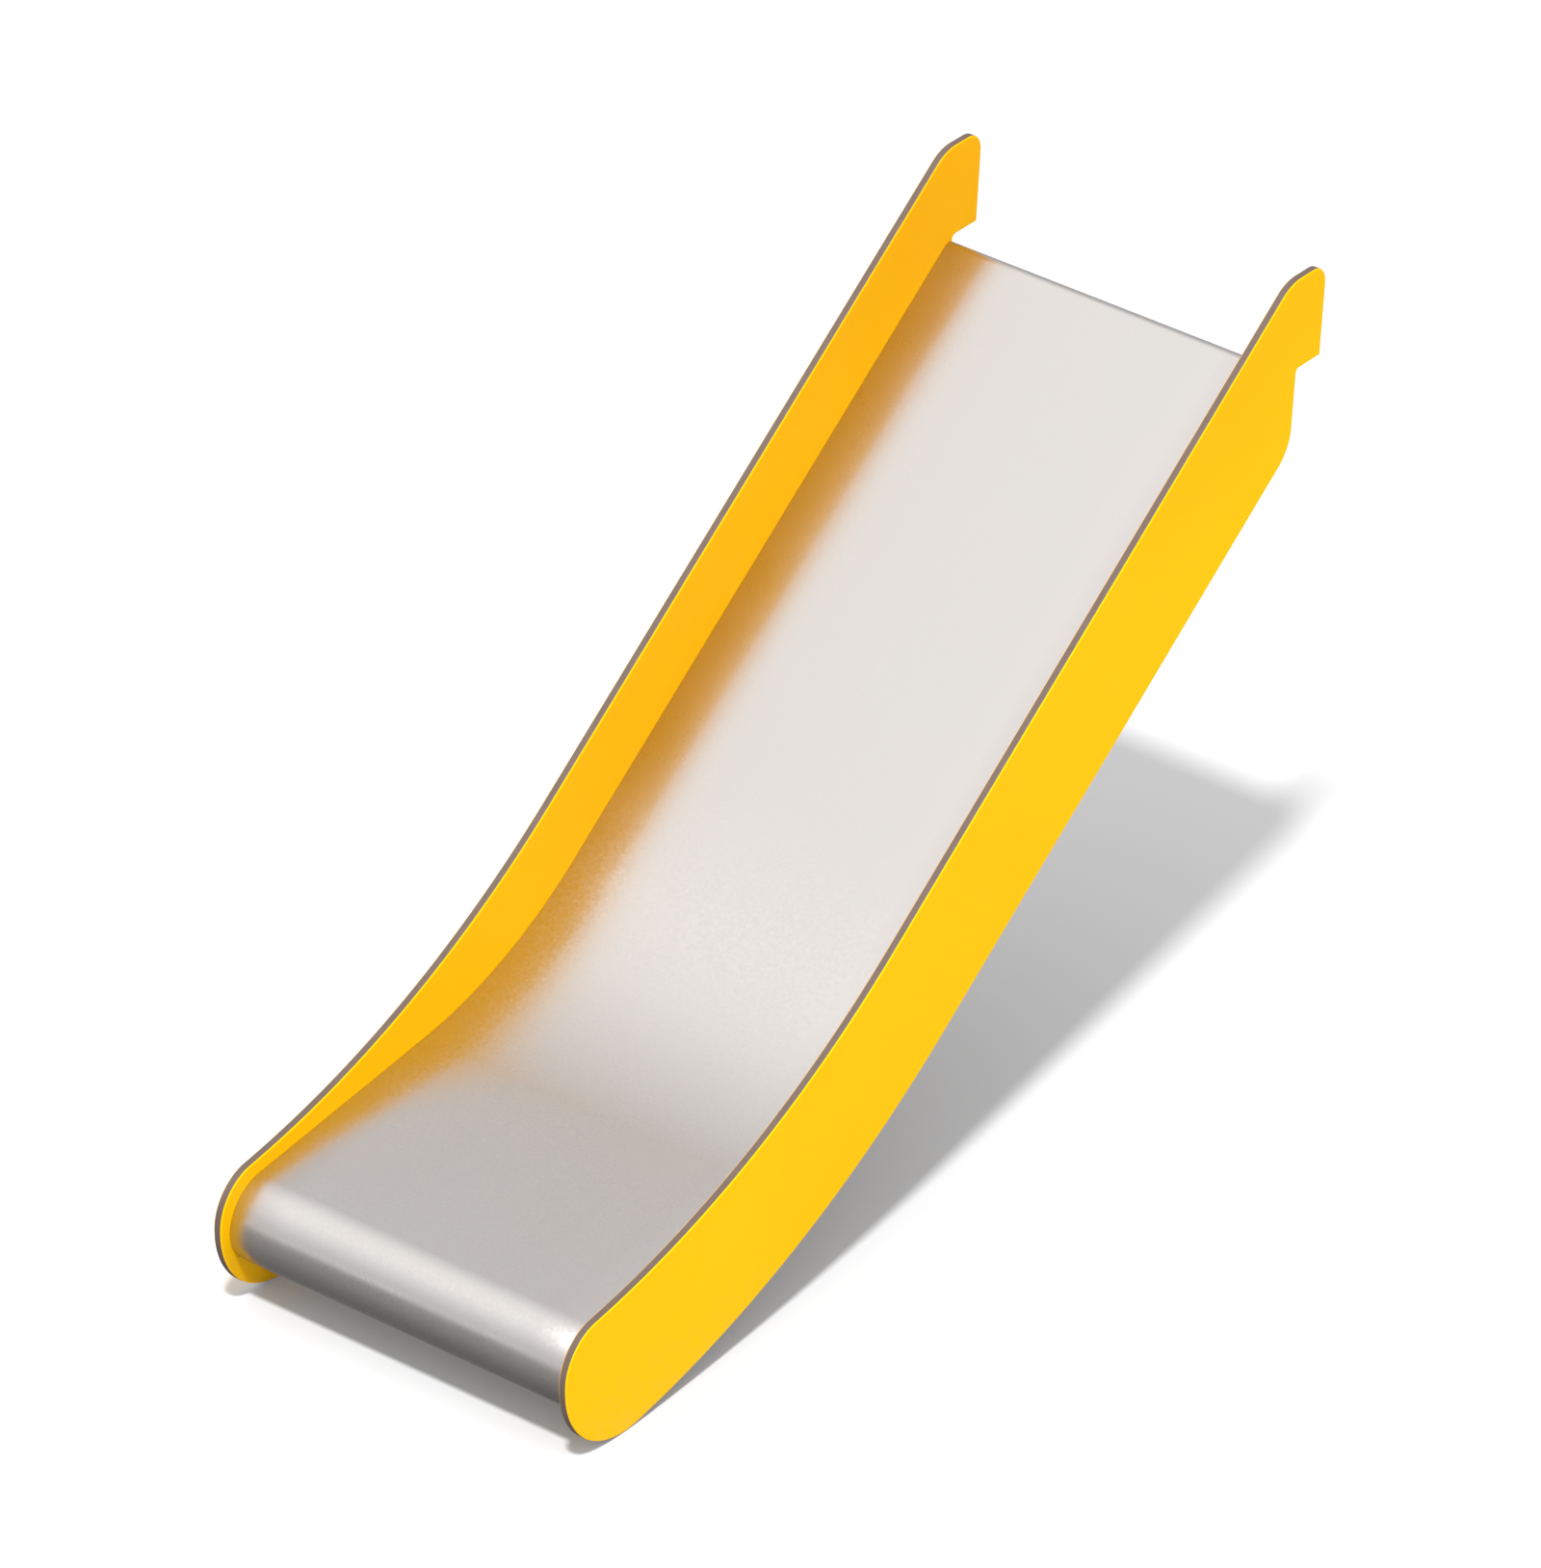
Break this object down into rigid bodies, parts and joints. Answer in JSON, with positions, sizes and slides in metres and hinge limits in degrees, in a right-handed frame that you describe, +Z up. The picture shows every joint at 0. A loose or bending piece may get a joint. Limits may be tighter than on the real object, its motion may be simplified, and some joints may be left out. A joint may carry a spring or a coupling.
{
  "type": "playground slide",
  "caption": "Straight open playground slide: stainless bed with rolled exit nose and level run-out between two yellow laminate side panels, on a hidden steel frame with ground feet.",
  "frame": {"origin": "on the centre line at ground level, in the middle of the four ground anchor holes", "axes": "+Y up the slope from the exit towards the platform, +Z up, +X to the right of someone who looks up the slide from its exit"},
  "size_m": [0.534, 1.4793, 1.035],
  "materials": {
    "side_panels": "satin yellow compact laminate with a brown core that shows on its edges",
    "bed": "fine satin stainless sheet, brushed along the slide",
    "frame": "zinc-coated steel, dull and slightly mottled",
    "plated_fixings": "dark zinc plating",
    "stainless_fixings": "bright stainless steel",
    "inserts": "plain brass"
  },
  "bodies": {
    "root": {"bed_sheet": "bed", "left_side_panel": "side_panels", "right_side_panel": "side_panels", "left_rail": "frame", "right_rail": "frame", "entry_plate": "frame", "upper_cross_tube": "frame", "middle_cross_tube": "frame", "lower_cross_tube": "frame", "runout_cross_tube": "frame", "nose_tube": "frame", "nose_ribs": "frame", "left_panel_spacers": "plated_fixings", "right_panel_spacers": "plated_fixings", "left_panel_inserts": "inserts", "right_panel_inserts": "inserts", "left_panel_screws": "stainless_fixings", "right_panel_screws": "stainless_fixings", "left_panel_washers": "stainless_fixings", "right_panel_washers": "stainless_fixings", "left_foot": "frame", "right_foot": "frame", "left_foot_bolts": "plated_fixings", "right_foot_bolts": "plated_fixings", "left_foot_washers": "plated_fixings", "right_foot_washers": "plated_fixings", "left_foot_nuts": "plated_fixings", "right_foot_nuts": "plated_fixings"}
  },
  "joints": []
}
